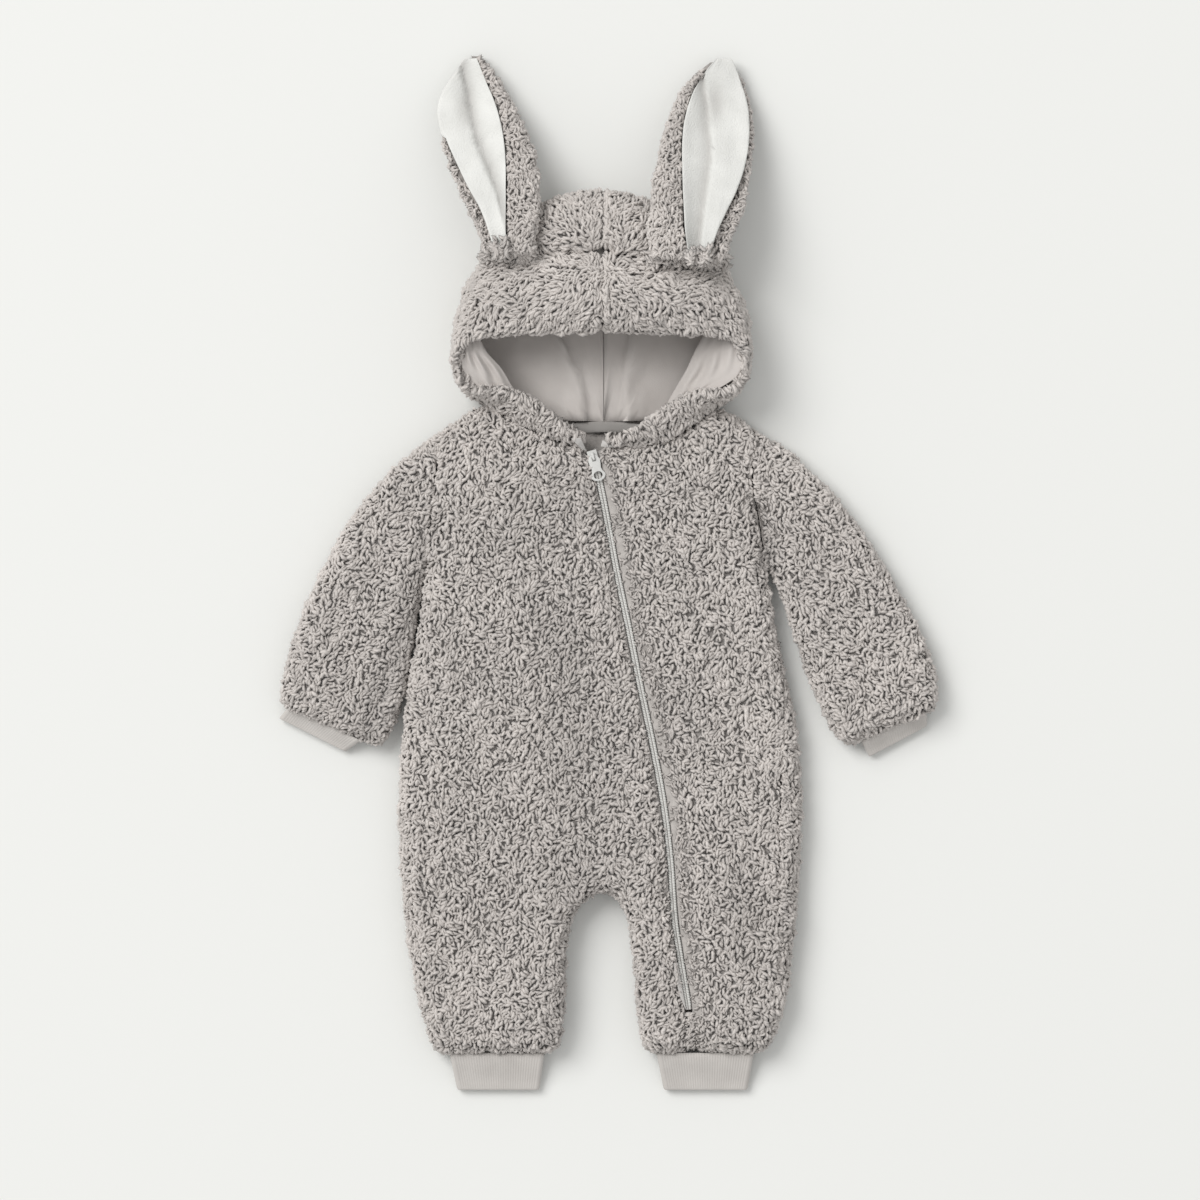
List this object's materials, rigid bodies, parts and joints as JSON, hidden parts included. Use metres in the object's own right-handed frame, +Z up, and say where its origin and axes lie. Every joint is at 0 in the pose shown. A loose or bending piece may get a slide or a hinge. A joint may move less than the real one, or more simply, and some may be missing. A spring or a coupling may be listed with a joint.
{
  "type": "baby romper",
  "caption": "Hooded teddy-fleece baby romper with rabbit ears, long sleeves and legs, rib cuffs and a diagonal front zip, laid flat on its back.",
  "frame": {"origin": "centre of the bounding box, on the surface that the romper lies on", "axes": "+X towards the wearer's left, +Y from the feet to the ears, +Z up out of the front"},
  "size_m": [0.5124, 0.8032, 0.081],
  "materials": {
    "fleece": "curled pile",
    "rib": "rib knit",
    "jersey": "plain knit",
    "plush": "short soft pile",
    "zip_tape": "woven tape",
    "zip_metal": "off-white lacquer"
  },
  "bodies": {
    "romper": {"ankle_cuff_left": "rib", "ankle_cuff_right": "rib", "back": "fleece", "cuff_left": "rib", "cuff_right": "rib", "ear_left": "fleece", "ear_plush_left": "plush", "ear_plush_right": "plush", "ear_right": "fleece", "front_left": "fleece", "front_right": "fleece", "hood_back_left": "fleece", "hood_back_right": "fleece", "hood_band_left": "fleece", "hood_band_right": "fleece", "hood_lining_left": "jersey", "hood_lining_right": "jersey", "neck_tape": "zip_tape", "sleeve_left": "fleece", "sleeve_right": "fleece", "zip_slider": "zip_metal", "zip_tape_left": "zip_tape", "zip_tape_right": "zip_tape"},
    "pull_tab": {"zip_pull_tab": "zip_metal"}
  },
  "joints": [
    {"name": "pull_tab_hinge", "type": "hinge", "parent": "romper", "child": "pull_tab", "pos_m": [-0.01149, 0.0918, 0.02628], "axis": [-0.963, -0.2695, 0], "range_deg": [0, 150]}
  ]
}
